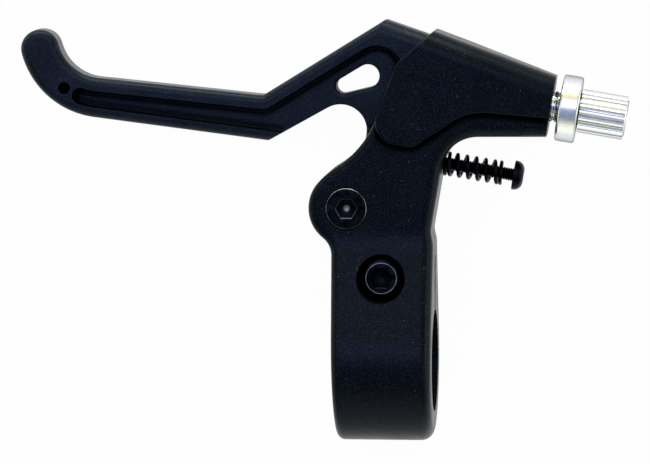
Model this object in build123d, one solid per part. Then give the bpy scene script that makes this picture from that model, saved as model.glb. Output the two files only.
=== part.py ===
from build123d import *

import os
from math import acos, asin, atan2, cos, degrees, hypot, radians, sin, sqrt, tan

# A left-hand flat-bar brake lever. The origin is the middle of the bar clamp's bore.
# +X runs along the bar towards the cable, +Y from the bar out to the lever, +Z up.

# Bar clamp
bar_diameter = 22.2
clamp_wall = 6.3
clamp_width = 21.4
clamp_lean = 1.4
slit_width = 2.2
slit_end_web = 1.6

# Clamp bolt and nut
clamp_bolt_diameter = 5.0
clamp_bolt_offset = 0.35
clamp_hole_gap = 0.2
clamp_bolt_land = 4.85
clamp_head_diameter = 8.5
clamp_head_height = 5.0
clamp_head_gap = 1.0
clamp_head_bevel = 0.9
clamp_socket_width = 4.0
clamp_socket_depth = 2.6
clamp_ear_web = 3.5
clamp_nut_width = 8.0
clamp_nut_height = 4.0
clamp_thread_end = 1.2

# Lever pivot
pivot_rise = 14.95
pivot_offset = 8.0
boss_radius = 8.3
waist_radius = 5.0
boss_high_angle = 139.0
shoulder_left = 2.3
shoulder_out = 8.85
ear_blend_radius = 15.0
cheek_thickness = 3.9
slot_width = 10.0
pivot_bolt_diameter = 5.0
pivot_head_diameter = 9.0
pivot_head_height = 2.4
pivot_head_gap = 0.15
pivot_head_stand = 0.2
pivot_head_bevel = 0.5
pivot_socket_width = 4.0
pivot_socket_depth = 2.0
pivot_nut_width = 8.0
pivot_nut_height = 3.2
pivot_nut_sink = 2.4
pivot_thread_end = 0.8
bush_wall = 1.5
washer_width = 1.7
washer_gap = 0.02
bolt_tip_bevel = 0.5
running_gap = 0.05
nut_pocket_gap = 0.1

# Cable arm, measured from the pivot along and out from the cable's line
arm_droop = 9.4
cable_arm = 28.8
arm_length = 39.75
arm_end_height = 13.3
arm_top_taper = 11.2
arm_bottom_taper = 9.2
arm_end_thickness = 11.4
back_edge = 18.75
back_foot = 2.1
back_foot_radius = 4.0
clamp_corner_drop = 2.5
clamp_corner_radius = 5.0
taper_start = 20.0
arm_throat_radius = 7.7
base_edge_round = 1.7
back_edge_round = 2.8
taper_blend = 8.0

# Hood, the raised upper half of the arm that covers the lever's head
hood_step = 0.9
hood_end_step = 1.3
hood_blend = 40.0
hood_top_round = 4.6
hood_edge_round = 0.5
hood_front = 12.2
hood_shoulder = 5.55
hood_shoulder_rise = 4.1
hood_cover = 2.0
hood_foot = 2.05
hood_sole = 15.3
hood_sole_along = 12.0
cheek_lip = 0.9
cheek_lip_out = 4.4
hood_knee = 22.5
hood_knee_drop = 3.65
hood_end_drop = 2.35
hood_shoulder_radius = 5.0
hood_heel_radius = 4.8
hood_sole_radius = 3.0
hood_knee_radius = 12.0
roof_thickness = 2.6

# Cable passage
adjuster_thread = 6.9
adjuster_thread_depth = 13.0
cable_hole = 3.0
cable_slot = 2.4
nipple_gap = 0.6

# Lever
lever_thickness = 9.4
eye_radius = 8.3
hook_back = 53.1
hook_out = 37.7
hook_inner_radius = 9.9
hook_inner_shift = 0.4
hook_outer_radius = 18.7
hook_tip_angle = 195.0
blade_end_back = 18.5
blade_end_out = 24.1
blade_heel_back = 17.3
blade_heel_out = 14.3
head_peak = 8.1
head_peak_out = 40.6
head_along = 11.11
head_out = 39.72
head_top_round = 3.2
head_cut = 2.09
head_cut_out = 2.52
neck_corner_radius = 1.2
back_corner_radius = 2.4
back_drop = 3.0
finger_arc_radius = 5.7
finger_arc_back = 1.65
finger_arc_out = 16.5
rim_width = 2.9
lower_rim_width = 2.15
web_depth = 1.6
web_floor_round = 1.2
web_round_share = 0.8
blade_edge_round = 1.7
neck_edge_round = 0.8
dimple_radius = 1.3
dimple_depth = 1.0
dimple_angle = 234.6
dimple_out = 0.6
web_start_angle = 250.0
web_end_right = 6.3
web_end_out = 29.4
web_end_angle = 15.0
heel_runout = 8.0
teardrop_big_radius = 2.5
teardrop_small_radius = 1.65
teardrop_along = 4.2
teardrop_out = 28.35
teardrop_run_back = 5.2
teardrop_run_down = 2.15
teardrop_edge_round = 0.8
nipple_radius = 3.6
nipple_wall = 1.8
nipple_along = 8.4
nipple_floor = 1.7
lever_gap = 0.7

# Reach screw and spring
reach_arm = 12.65
reach_screw_diameter = 2.9
reach_head_diameter = 6.4
reach_head_height = 2.2
reach_head_rim = 0.3
reach_tip_gap = 0.25
recess_length = 4.6
recess_width = 0.8
recess_depth = 1.2
spring_outer_diameter = 5.4
spring_wire = 0.8
spring_length = 13.2
spring_turns = 7
spring_slack = 2.1
spring_seat_gap = 0.02

# Barrel adjuster and lock nut
lock_nut_diameter = 14.5
lock_nut_width = 4.3
lock_nut_chamfer = 0.6
lock_nut_standoff = 1.65
barrel_diameter = 9.5
barrel_length = 10.3
barrel_gap = 0.1
barrel_chamfer = 1.0
knurl_count = 22
knurl_depth = 0.45
shank_engagement = 11.0
housing_socket_diameter = 5.2
housing_socket_depth = 7.0
barrel_cable_hole = 2.4

# Worked out from the sizes above
bar_radius = bar_diameter / 2
ring_radius = bar_radius + clamp_wall
clamp_hole_radius = clamp_bolt_diameter / 2 + clamp_hole_gap
clamp_bolt_y = bar_radius + clamp_bolt_land + clamp_hole_radius
pivot_x = -pivot_offset
pivot_y = clamp_bolt_y + pivot_rise
cheek_top = slot_width / 2 + cheek_thickness
clamp_seat = slit_width / 2 + clamp_ear_web
pivot_head_seat = cheek_top + pivot_head_stand - pivot_head_height
pivot_nut_seat = cheek_top - pivot_nut_sink
bush_radius = pivot_bolt_diameter / 2 + running_gap + bush_wall
droop = radians(arm_droop)
eye_gap_radius = eye_radius + lever_gap
reach_head_seat = back_edge + spring_length + spring_slack
lever_back = nipple_along + nipple_radius + nipple_wall
reach_tip = lever_back + reach_tip_gap
lock_nut_start = arm_length + lock_nut_standoff
barrel_start = lock_nut_start + lock_nut_width + barrel_gap
far = 60.0


def arm(along, out):
    """Point in the lever's plane, along the cable's direction and out from the pivot."""
    x = pivot_x + along * cos(droop) + out * sin(droop)
    y = pivot_y - along * sin(droop) + out * cos(droop)
    return (x, y)


def by_pivot(right, out):
    """Point in the lever's plane, to the right of the pivot and out from it."""
    return (pivot_x + right, pivot_y + out)


def polar(centre, radius, angle):
    """Point on a circle at an angle in degrees."""
    return (centre[0] + radius * cos(radians(angle)), centre[1] + radius * sin(radians(angle)))


def tangent_point(point, centre, radius):
    """Where the line from a point touches a circle, leaving the circle on its right."""
    run = (centre[0] - point[0], centre[1] - point[1])
    distance = hypot(*run)
    angle = atan2(run[1], run[0]) + asin(radius / distance)
    length = sqrt(distance**2 - radius**2)
    return (point[0] + length * cos(angle), point[1] + length * sin(angle))


def arc(centre, radius, start, end):
    """Arc about a centre between two angles in degrees."""
    points = [polar(centre, radius, angle) for angle in (start, (start + end) / 2, end)]
    return ThreePointArc(*points)


def angle_of(centre, point):
    """Angle of a point about a centre, in degrees from 0 to 360."""
    return degrees(atan2(point[1] - centre[1], point[0] - centre[0])) % 360


def prism(face, low, high):
    """A flat outline made solid between two heights."""
    return extrude(Pos(0, 0, low) * face, amount=high - low)


def rod(centre, radius, low, high):
    """An upright cylinder between two heights."""
    return prism(Pos(*centre) * Circle(radius), low, high)


def hexagon(centre, width, low, high):
    """An upright hexagonal prism of a width across its flats."""
    return prism(Pos(*centre) * RegularPolygon(width / 2, 6, major_radius=False), low, high)


def turned(*points):
    """A solid of revolution about Z from points of radius and height."""
    return revolve(Plane.XZ * make_face(Polyline(*points, close=True)), Axis.Z)


def on_arm_axis(out):
    """Frame on an axis along the cable's direction, with its origin beside the pivot."""
    x, y = arm(0, out)
    return Plane(origin=(x, y, 0), x_dir=(0, 0, 1), z_dir=(cos(droop), -sin(droop), 0))


def corner(shape, point):
    """The vertex of an outline that is nearest to a point."""
    return shape.vertices().sort_by_distance(Vector(*point))[0]


pivot = by_pivot(0, 0)
clamp_bolt_at = (-clamp_bolt_offset, clamp_bolt_y)
nipple_at = arm(nipple_along, cable_arm)


def hood_top(along):
    """Height of the hood's top edge at a place along the arm."""
    return cable_arm + arm_end_height / 2 + (arm_length - along) * tan(radians(arm_top_taper))


def arm_bottom(along):
    """Height of the arm's bottom edge at a place along the arm."""
    return cable_arm - arm_end_height / 2 - (arm_length - along) * tan(radians(arm_bottom_taper))


def upright():
    """Side-on frame of the arm: along the cable's direction, up, and in towards the bar."""
    x, y = pivot
    return Plane(origin=(x, y, 0), x_dir=(cos(droop), -sin(droop), 0), z_dir=(-sin(droop), -cos(droop), 0))


def waist_centre(half):
    """Centre of the arc that joins the boss to the clamp's leaning left side."""
    lean = radians(clamp_lean)
    up = Vector(-sin(lean), cos(lean))
    run = Vector(-half - waist_radius * cos(lean) - pivot_x, -waist_radius * sin(lean) - pivot_y)
    rise = run.dot(up)
    drop = sqrt(rise**2 - run.dot(run) + (boss_radius + waist_radius) ** 2)
    centre = Vector(*pivot) + run - up * (rise + drop)
    return (centre.X, centre.Y)


def base_outline():
    """Plan of the clamp, the cheeks and the arm's lower half."""
    half = clamp_width / 2
    bottom = -ring_radius - 1
    back_low = arm(back_edge, -back_foot)
    clamp_corner = (half, back_low[1] - clamp_corner_drop)
    throat = arm(back_edge, arm_bottom(back_edge))
    waist = waist_centre(half)
    side_high = polar(waist, waist_radius, clamp_lean)
    side_low = (-half - tan(radians(clamp_lean)) * bottom, bottom)
    boss_low = angle_of(pivot, waist)
    boss_end = polar(pivot, boss_radius, boss_high_angle)
    boss_heading = polar((0, 0), 1, boss_high_angle - 90)
    shoulder = by_pivot(-shoulder_left, shoulder_out)
    rise = TangentArc(boss_end, shoulder, tangent=boss_heading)
    cheek_corner = arm(hood_foot + cheek_lip, hood_sole + cheek_lip_out)
    arm_end_low = arm(arm_length, arm_bottom(arm_length))
    arm_end_mid = arm(arm_length, cable_arm)
    inside_hood = arm(hood_shoulder + hood_cover, cable_arm)
    corners = [side_low, (half, bottom), clamp_corner, back_low, throat, arm_end_low]
    corners += [arm_end_mid, inside_hood, cheek_corner]
    edges = [
        *Polyline(*corners).edges(),
        TangentArc(shoulder, cheek_corner, tangent=rise % 1),
        rise,
        arc(pivot, boss_radius, boss_high_angle, boss_low),
        arc(waist, waist_radius, boss_low - 180, clamp_lean),
        Line(side_high, side_low),
    ]
    face = make_face(edges)
    face = fillet(corner(face, throat), arm_throat_radius)
    face = fillet(corner(face, clamp_corner), clamp_corner_radius)
    return fillet(corner(face, back_low), back_foot_radius)


def side_profile():
    """Side view of the clamp ring, its ears and the cheeks, solid along the bar."""
    knee = (pivot_y - boss_radius + 1, cheek_top)
    rise = degrees(atan2(knee[1], knee[0])) + degrees(acos(ring_radius / hypot(*knee)))
    touch = polar((0, 0), ring_radius, rise)
    end = pivot_y + far
    corners = [touch, knee, (end, cheek_top)]
    corners += [(y, -z) for y, z in reversed(corners)]
    ring = arc((0, 0), ring_radius, rise, 360 - rise)
    face = make_face([*Polyline(*corners).edges(), ring])
    knees = [corner(face, knee), corner(face, (knee[0], -knee[1]))]
    face = fillet(knees, ear_blend_radius)
    return extrude(Plane.YZ * face, amount=far, both=True)


def arm_wedge():
    """What is cut off the arm's upper side so that it thins towards its end."""
    fall = (cheek_top - arm_end_thickness / 2) / (arm_length - taper_start)
    end = arm_length + 5
    low = cheek_top - fall * (end - taper_start)
    corners = [(taper_start, cheek_top), (end, low), (end, far), (taper_start, far)]
    return extrude(upright() * make_face(Polyline(*corners, close=True)), amount=-far)


def edge_near(solid, point):
    """The edge of a solid that is nearest to a point."""
    return solid.edges().sort_by_distance(Vector(*point))[0]


def base():
    """The clamp, the cheeks and the arm's lower half, with rounded edges."""
    solid = prism(base_outline(), -far, far) & side_profile()
    wedge = arm_wedge()
    solid -= wedge
    solid -= mirror(wedge, Plane.XY)
    kink = arm(taper_start, cable_arm - 1)
    solid = fillet([edge_near(solid, (*kink, side * cheek_top)) for side in (1, -1)], taper_blend)
    solid = fillet(edge_near(solid, (pivot_x - boss_radius, pivot_y, cheek_top)), base_edge_round)
    return fillet(edge_near(solid, (*arm(back_edge, reach_arm / 2), cheek_top)), back_edge_round)


def hood():
    """The raised upper half of the arm, with a broadly rounded top."""
    top_left = arm(hood_front, hood_top(hood_front))
    top_right = arm(arm_length, hood_top(arm_length))
    end_low = arm(arm_length, cable_arm - hood_end_drop)
    knee = arm(hood_knee, cable_arm - hood_knee_drop)
    sole = arm(hood_sole_along, hood_sole)
    heel = arm(hood_foot, hood_sole)
    shoulder = arm(hood_shoulder, cable_arm + hood_shoulder_rise)
    face = make_face(Polyline(top_left, top_right, end_low, knee, sole, heel, shoulder, close=True))
    face = fillet(corner(face, shoulder), hood_shoulder_radius)
    face = fillet(corner(face, heel), hood_heel_radius)
    face = fillet(corner(face, sole), hood_sole_radius)
    face = fillet(corner(face, knee), hood_knee_radius)
    level = cheek_top + hood_step
    end = arm_end_thickness / 2 + hood_end_step
    half = [(-far, level), (taper_start, level), (arm_length, end)]
    corners = half + [(along, -z) for along, z in reversed(half)]
    side = make_face(Polyline(*corners, close=True))
    side = fillet([corner(side, (taper_start, level)), corner(side, (taper_start, -level))], hood_blend)
    solid = prism(face, -far, far) & extrude(upright() * side, amount=far, both=True)
    ridge = arm(arm_length - 1, hood_top(arm_length - 1))
    solid = fillet([edge_near(solid, (*ridge, z)) for z in (end, -end)], hood_top_round)
    lip = arm((hood_foot + hood_shoulder) / 2, (hood_sole + cable_arm + hood_shoulder_rise) / 2)
    return fillet([edge_near(solid, (*lip, z)) for z in (level, -level)], hood_edge_round)


def roof_under(along):
    """Height of the underside of the hood's roof."""
    return hood_top(along) - roof_thickness / cos(radians(arm_top_taper))


def lever_slot():
    """The room between the cheeks that the lever turns in."""
    back = lever_back + lever_gap
    back_low = arm(back, reach_arm - back_drop)
    eye_end = tangent_point(back_low, pivot, eye_gap_radius)
    corners = [
        eye_end,
        back_low,
        arm(back, roof_under(back)),
        arm(-far, roof_under(-far)),
        (pivot_x - far, pivot_y - eye_gap_radius),
        (pivot_x, pivot_y - eye_gap_radius),
    ]
    floor = arc(pivot, eye_gap_radius, -90, angle_of(pivot, eye_end) - 360)
    face = make_face([*Polyline(*corners).edges(), floor])
    return prism(face, -slot_width / 2, slot_width / 2)


def along_arm(out, radius, start, end):
    """A cylinder along the cable's direction."""
    return on_arm_axis(out) * rod((0, 0), radius, start, end)


def bar_slit():
    """The slit that lets the clamp close, with a rounded end under the lever's slot."""
    end = pivot_y - eye_gap_radius - slit_end_web - slit_width / 2
    flat = Pos(0, end / 2, 0) * Box(2 * far, end, slit_width)
    return flat + Pos(0, end, 0) * Rot(0, 90, 0) * Cylinder(slit_width / 2, 2 * far)


def cable_notch():
    """The open notch in the lower cheek where the cable's nipple goes in."""
    half = nipple_radius + nipple_gap
    back = lever_back + lever_gap
    corners = [arm(-far, cable_arm - half), arm(back, cable_arm - half)]
    corners += [arm(back, cable_arm + half), arm(-far, cable_arm + half)]
    return prism(make_face(Polyline(*corners, close=True)), -far, -slot_width / 4)


def cable_groove(end):
    """The open groove that the cable swings into, from the lever's head to a place on the arm."""
    half = cable_slot / 2
    corners = [arm(nipple_along, cable_arm - half), arm(end, cable_arm - half)]
    corners += [arm(end, cable_arm + half), arm(nipple_along, cable_arm + half)]
    return prism(make_face(Polyline(*corners, close=True)), -far, half)


def bracket():
    """The moulding that clamps the bar and holds the lever and the cable's end."""
    solid = base() + hood()
    solid -= Rot(0, 90, 0) * Cylinder(bar_radius, 2 * far)
    solid -= bar_slit()
    solid -= lever_slot()
    solid -= rod(clamp_bolt_at, clamp_hole_radius, -far, far)
    solid -= rod(clamp_bolt_at, clamp_head_diameter / 2 + clamp_head_gap, clamp_seat, far)
    solid -= hexagon(clamp_bolt_at, clamp_nut_width + 2 * nut_pocket_gap, -far, -clamp_seat)
    solid -= rod(pivot, pivot_bolt_diameter / 2 + running_gap, -far, far)
    solid -= rod(pivot, pivot_head_diameter / 2 + pivot_head_gap, pivot_head_seat, far)
    solid -= hexagon(pivot, pivot_nut_width + 2 * nut_pocket_gap, -far, -pivot_nut_seat)
    solid -= along_arm(reach_arm, reach_screw_diameter / 2 + running_gap, 0, back_edge + 2)
    thread_end = arm_length - adjuster_thread_depth
    solid -= along_arm(cable_arm, adjuster_thread / 2 + running_gap, thread_end, arm_length + 2)
    solid -= along_arm(cable_arm, cable_hole / 2, lever_back, arm_length)
    solid -= cable_notch()
    solid -= cable_groove(thread_end)
    return solid


def hook_centre():
    """Centre of the hook's bend at the free end of the blade."""
    return by_pivot(-hook_back, hook_out)


def hook_inner_centre():
    """Centre of the hook's inner edge, set back so that the hook thins towards its tip."""
    return polar(hook_centre(), hook_inner_shift, hook_tip_angle)


def lever_outline():
    """Plan of the lever: hook, blade, neck, head and eye."""
    hook = hook_centre()
    blade_end = by_pivot(-blade_end_back, blade_end_out)
    heel = by_pivot(-blade_heel_back, blade_heel_out)
    peak = by_pivot(head_peak, head_peak_out)
    head = arm(head_along, head_out)
    throat = arm(head_along - head_cut, head_out - head_cut_out)
    inner_hook = hook_inner_centre()
    inner = tangent_point(blade_end, inner_hook, hook_inner_radius)
    outer = tangent_point(heel, hook, hook_outer_radius)
    tip_radius = (hook_outer_radius - hook_inner_radius - hook_inner_shift) / 2
    tip_centre = polar(hook, hook_outer_radius - tip_radius, hook_tip_angle)
    tip_inner = polar(inner_hook, hook_inner_radius, hook_tip_angle)
    tip_outer = polar(hook, hook_outer_radius, hook_tip_angle)
    finger = by_pivot(-finger_arc_back, finger_arc_out)
    finger_in = tangent_point(heel, finger, finger_arc_radius)
    span = hypot(finger_arc_back, finger_arc_out)
    lean = degrees(asin((finger_arc_radius + eye_radius) / span))
    heading = angle_of(finger, pivot) - 360 - lean
    finger_out = polar(finger, finger_arc_radius, heading + 90)
    eye_start = polar(pivot, eye_radius, heading - 90)
    back_low = arm(lever_back, reach_arm - back_drop)
    back_high = arm(lever_back, cable_arm + nipple_radius)
    eye_end = tangent_point(back_low, pivot, eye_radius)
    edges = [
        Line(blade_end, inner),
        arc(inner_hook, hook_inner_radius, angle_of(inner_hook, inner), hook_tip_angle),
        ThreePointArc(tip_inner, polar(tip_centre, tip_radius, hook_tip_angle - 90), tip_outer),
        arc(hook, hook_outer_radius, hook_tip_angle, angle_of(hook, outer)),
        Line(outer, heel),
        Line(heel, finger_in),
        arc(finger, finger_arc_radius, angle_of(finger, finger_in), heading + 90),
        Line(finger_out, eye_start),
        arc(pivot, eye_radius, angle_of(pivot, eye_start), angle_of(pivot, eye_end)),
        *Polyline(eye_end, back_low, back_high, throat, head, peak, blade_end).edges(),
    ]
    face = make_face(edges)
    face = fillet([corner(face, peak), corner(face, blade_end)], neck_corner_radius)
    return fillet(corner(face, back_high), back_corner_radius)


def web_start():
    """The two corners where the sunk web starts in the hook, by the inner and by the outer rim."""
    near = polar(hook_inner_centre(), hook_inner_radius + rim_width, web_start_angle)
    away = polar(hook_centre(), hook_outer_radius - lower_rim_width, web_start_angle)
    return near, away


def web_outline():
    """Plan of the sunk web between the lever's rims."""
    hook = hook_centre()
    inner_hook = hook_inner_centre()
    blade_end = by_pivot(-blade_end_back, blade_end_out)
    heel = by_pivot(-blade_heel_back, blade_heel_out)
    peak = by_pivot(head_peak, head_peak_out)
    inner_angle = angle_of(inner_hook, tangent_point(blade_end, inner_hook, hook_inner_radius))
    outer_angle = angle_of(hook, tangent_point(heel, hook, hook_outer_radius))
    near = hook_inner_radius + rim_width
    away = hook_outer_radius - lower_rim_width
    start_near, start_away = web_start()
    start = polar(hook, (near + away) / 2, web_start_angle)
    start_mid = polar(start, (away - near) / 2, web_start_angle - 90)
    neck_angle = angle_of(blade_end, peak)
    half_turn = (neck_angle + 270 - inner_angle) / 2
    bend = polar(blade_end, rim_width / cos(radians(half_turn)), inner_angle + half_turn)
    end = by_pivot(web_end_right, web_end_out)
    end_radius = hypot(end[0] - blade_end[0], end[1] - blade_end[1])
    end_radius *= sin(radians(neck_angle - angle_of(blade_end, end)))
    end_radius -= rim_width
    runout = polar(polar(heel, lower_rim_width, outer_angle + 180), heel_runout, outer_angle + 90)
    finger = by_pivot(-finger_arc_back, finger_arc_out)
    under_hood = arm(hood_foot + hood_cover, hood_sole + hood_cover)
    end_low = polar(end, end_radius, web_end_angle)
    edges = [
        arc(inner_hook, near, inner_angle, web_start_angle),
        ThreePointArc(start_near, start_mid, start_away),
        arc(hook, away, web_start_angle, outer_angle),
        *Polyline(polar(hook, away, outer_angle), runout, finger, under_hood, end_low).edges(),
        arc(end, end_radius, web_end_angle, neck_angle + 90),
        Line(polar(end, end_radius, neck_angle + 90), bend),
        Line(bend, polar(inner_hook, near, inner_angle)),
    ]
    return make_face(edges)


def web_pocket():
    """What is cut out above the upper web, rounded all round its floor."""
    half = lever_thickness / 2
    near, away = web_start()
    width = hypot(away[0] - near[0], away[1] - near[1])
    floor_round = min(web_floor_round, web_round_share * width / 2)
    pocket = prism(web_outline(), half - web_depth, half)
    return fillet(pocket.faces().sort_by(Axis.Z)[0].edges(), floor_round)


def teardrop():
    """Plan of the hole through the lever's neck."""
    big = by_pivot(teardrop_along, teardrop_out)
    small = by_pivot(teardrop_along - teardrop_run_back, teardrop_out - teardrop_run_down)
    run = hypot(teardrop_run_back, teardrop_run_down)
    towards = angle_of(big, small)
    lean = degrees(acos((teardrop_big_radius - teardrop_small_radius) / run))
    big_low = polar(big, teardrop_big_radius, towards - lean)
    big_high = polar(big, teardrop_big_radius, towards + lean)
    small_low = polar(small, teardrop_small_radius, towards - lean)
    small_high = polar(small, teardrop_small_radius, towards + lean)
    edges = [
        arc(big, teardrop_big_radius, towards + lean, towards - lean + 360),
        Line(big_low, small_low),
        arc(small, teardrop_small_radius, towards - lean, towards + lean),
        Line(small_high, big_high),
    ]
    return make_face(edges)


def head_edges():
    """What is cut off the long edges of the lever's head to round its top broadly."""
    peak = by_pivot(head_peak, head_peak_out)
    head = arm(head_along, head_out)
    run = Vector(head[0] - peak[0], head[1] - peak[1])
    half = lever_thickness / 2
    depth = head_top_round
    corners = [(half, depth), (2 * half, depth), (2 * half, -half)]
    corners += [(half - depth, -half), (half - depth, 0)]
    profile = make_face([*Polyline(*corners).edges(), arc((half - depth, depth), depth, -90, 0)])
    edge = Pos(0, 0, -depth) * extrude(profile, amount=run.length + 2 * depth)
    upper = Plane(origin=(*peak, 0), x_dir=(0, 0, 1), z_dir=run) * edge
    return upper + mirror(upper, Plane.XY)


def lever_blade():
    """The moulded lever, with sunk webs on both sides."""
    half = lever_thickness / 2
    web = half - web_depth
    hook = hook_centre()
    solid = prism(lever_outline(), -half, half)
    rim = polar(hook, hook_outer_radius, dimple_angle)
    solid = fillet([edge_near(solid, (*rim, z)) for z in (half, -half)], blade_edge_round)
    under = polar(by_pivot(-finger_arc_back, finger_arc_out), finger_arc_radius, 90)
    solid = fillet([edge_near(solid, (*under, z)) for z in (half, -half)], neck_edge_round)
    solid -= head_edges()
    pocket = web_pocket()
    solid -= pocket
    solid -= mirror(pocket, Plane.XY)
    solid -= prism(teardrop(), -half, half)
    drop = polar(by_pivot(teardrop_along, teardrop_out), teardrop_big_radius, 0)
    solid = fillet([edge_near(solid, (*drop, z)) for z in (web, -web)], teardrop_edge_round)
    dimple = polar(hook, (hook_inner_radius + hook_outer_radius) / 2 + dimple_out, dimple_angle)
    solid -= rod(dimple, dimple_radius, half - dimple_depth, half)
    solid -= rod(pivot, bush_radius + running_gap, -half, half)
    solid -= rod(nipple_at, nipple_radius, -half, half - nipple_floor)
    solid -= cable_groove(lever_back + lever_gap)
    return solid


def pivot_bush():
    """The sleeve that the lever's eye turns on."""
    half = slot_width / 2 - running_gap
    bore = pivot_bolt_diameter / 2 + running_gap
    return rod(pivot, bush_radius, -half, half) - rod(pivot, bore, -half, half)


def pivot_washer(side):
    """A thin washer between the lever's eye and a cheek."""
    low = lever_thickness / 2 + washer_gap
    high = slot_width / 2 - washer_gap
    inner = bush_radius + running_gap
    ring = rod(pivot, inner + washer_width, low, high) - rod(pivot, inner, low, high)
    return ring if side > 0 else mirror(ring, Plane.XY)


def socket_bolt(centre, diameter, seat, head, socket, tip):
    """A hex-socket bolt with a bevelled head, its head up."""
    head_radius, head_height, bevel = head
    socket_width, socket_depth = socket
    top = seat + head_height
    radius = diameter / 2
    body = turned(
        (0, tip), (radius - bolt_tip_bevel, tip), (radius, tip + bolt_tip_bevel), (radius, seat),
        (head_radius, seat), (head_radius, top - bevel), (head_radius - bevel, top), (0, top),
    )
    return Pos(*centre) * body - hexagon(centre, socket_width, top - socket_depth, top)


def hex_nut(centre, width, bore, outer, inner):
    """A hex nut with bevelled corners on its outer side."""
    bevel = width * 0.06
    corner_radius = width / sqrt(3)
    turn = turned(
        (bore, inner), (corner_radius, inner), (corner_radius, outer + bevel),
        (corner_radius - 2 * bevel, outer), (bore, outer),
    )
    return hexagon(centre, width, outer, inner) & (Pos(*centre) * turn)


def clamp_bolt():
    """The cap bolt that closes the clamp."""
    head = (clamp_head_diameter / 2, clamp_head_height, clamp_head_bevel)
    socket = (clamp_socket_width, clamp_socket_depth)
    tip = -clamp_seat - clamp_nut_height - clamp_thread_end
    return socket_bolt(clamp_bolt_at, clamp_bolt_diameter, clamp_seat, head, socket, tip)


def clamp_nut():
    """The nut in the lower ear's pocket."""
    bore = clamp_bolt_diameter / 2 + running_gap
    return hex_nut(clamp_bolt_at, clamp_nut_width, bore, -clamp_seat - clamp_nut_height, -clamp_seat)


def pivot_bolt():
    """The low-head bolt that the lever turns on."""
    head = (pivot_head_diameter / 2, pivot_head_height, pivot_head_bevel)
    socket = (pivot_socket_width, pivot_socket_depth)
    tip = -pivot_nut_seat - pivot_nut_height - pivot_thread_end
    return socket_bolt(pivot, pivot_bolt_diameter, pivot_head_seat, head, socket, tip)


def pivot_nut():
    """The nut in the lower cheek's pocket."""
    bore = pivot_bolt_diameter / 2 + running_gap
    return hex_nut(pivot, pivot_nut_width, bore, -pivot_nut_seat - pivot_nut_height, -pivot_nut_seat)


def reach_screw():
    """The pan-head screw that sets where the lever rests."""
    radius = reach_screw_diameter / 2
    head = reach_head_diameter / 2
    seat = reach_head_seat
    top = seat + reach_head_height
    dome = reach_head_height - reach_head_rim
    bevel = radius / 3
    profile = [
        Line((0, reach_tip), (radius - bevel, reach_tip)),
        Line((radius - bevel, reach_tip), (radius, reach_tip + bevel)),
        Line((radius, reach_tip + bevel), (radius, seat)),
        Line((radius, seat), (head, seat)),
        Line((head, seat), (head, seat + reach_head_rim)),
        TangentArc((head, seat + reach_head_rim), (head - dome, top), tangent=(0, 1)),
        Line((head - dome, top), (0, top)),
        Line((0, top), (0, reach_tip)),
    ]
    solid = revolve(Plane.XZ * make_face(profile), Axis.Z)
    for turn in (0, 90):
        blade = Box(recess_length, recess_width, 2 * recess_depth)
        solid -= Pos(0, 0, top) * Rot(0, 0, turn) * blade
    return on_arm_axis(reach_arm) * solid


def reach_spring():
    """The coil spring round the reach screw."""
    mean = (spring_outer_diameter - spring_wire) / 2
    height = spring_length - spring_wire - 2 * spring_seat_gap
    path = Helix(height / spring_turns, height, mean)
    wire = Plane(origin=path @ 0, z_dir=path % 0) * Circle(spring_wire / 2)
    coil = sweep(wire, path=path, is_frenet=True)
    start = back_edge + spring_wire / 2 + spring_seat_gap
    return on_arm_axis(reach_arm) * Pos(0, 0, start) * coil


def lock_nut():
    """The plain ring that locks the barrel's thread."""
    bore = adjuster_thread / 2 + running_gap
    radius = lock_nut_diameter / 2
    low = lock_nut_start
    high = lock_nut_start + lock_nut_width
    bevel = lock_nut_chamfer
    ring = turned(
        (bore, low), (radius - bevel, low), (radius, low + bevel),
        (radius, high - bevel), (radius - bevel, high), (bore, high),
    )
    return on_arm_axis(cable_arm) * ring


def knurled_barrel(low, high):
    """A bar with straight V grooves all round and bevelled ends."""
    radius = barrel_diameter / 2
    step = 180 / knurl_count
    points = [polar((0, 0), radius - knurl_depth * (i % 2), i * step) for i in range(2 * knurl_count)]
    bar = prism(make_face(Polyline(*points, close=True)), low, high)
    bevel = barrel_chamfer
    ends = turned(
        (0, low), (radius - bevel, low), (radius, low + bevel),
        (radius, high - bevel), (radius - bevel, high), (0, high),
    )
    return bar & ends


def barrel_adjuster():
    """The knurled barrel that the cable's housing seats in, with its threaded shank."""
    low = barrel_start
    high = barrel_start + barrel_length
    shank_end = arm_length - shank_engagement
    solid = knurled_barrel(low, high) + rod((0, 0), adjuster_thread / 2, shank_end, low)
    solid -= rod((0, 0), barrel_cable_hole / 2, shank_end, high)
    solid -= rod((0, 0), housing_socket_diameter / 2, high - housing_socket_depth, high)
    return on_arm_axis(cable_arm) * solid


def main():
    pieces = {
        "bracket": bracket(),
        "lever_blade": lever_blade(),
        "pivot_bush": pivot_bush(),
        "upper_pivot_washer": pivot_washer(1),
        "lower_pivot_washer": pivot_washer(-1),
        "pivot_bolt": pivot_bolt(),
        "pivot_nut": pivot_nut(),
        "clamp_bolt": clamp_bolt(),
        "clamp_nut": clamp_nut(),
        "reach_screw": reach_screw(),
        "reach_spring": reach_spring(),
        "lock_nut": lock_nut(),
        "barrel_adjuster": barrel_adjuster(),
    }
    os.makedirs("parts", exist_ok=True)
    for name, solid in pieces.items():
        export_step(solid, f"parts/{name}.step")


main()
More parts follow.
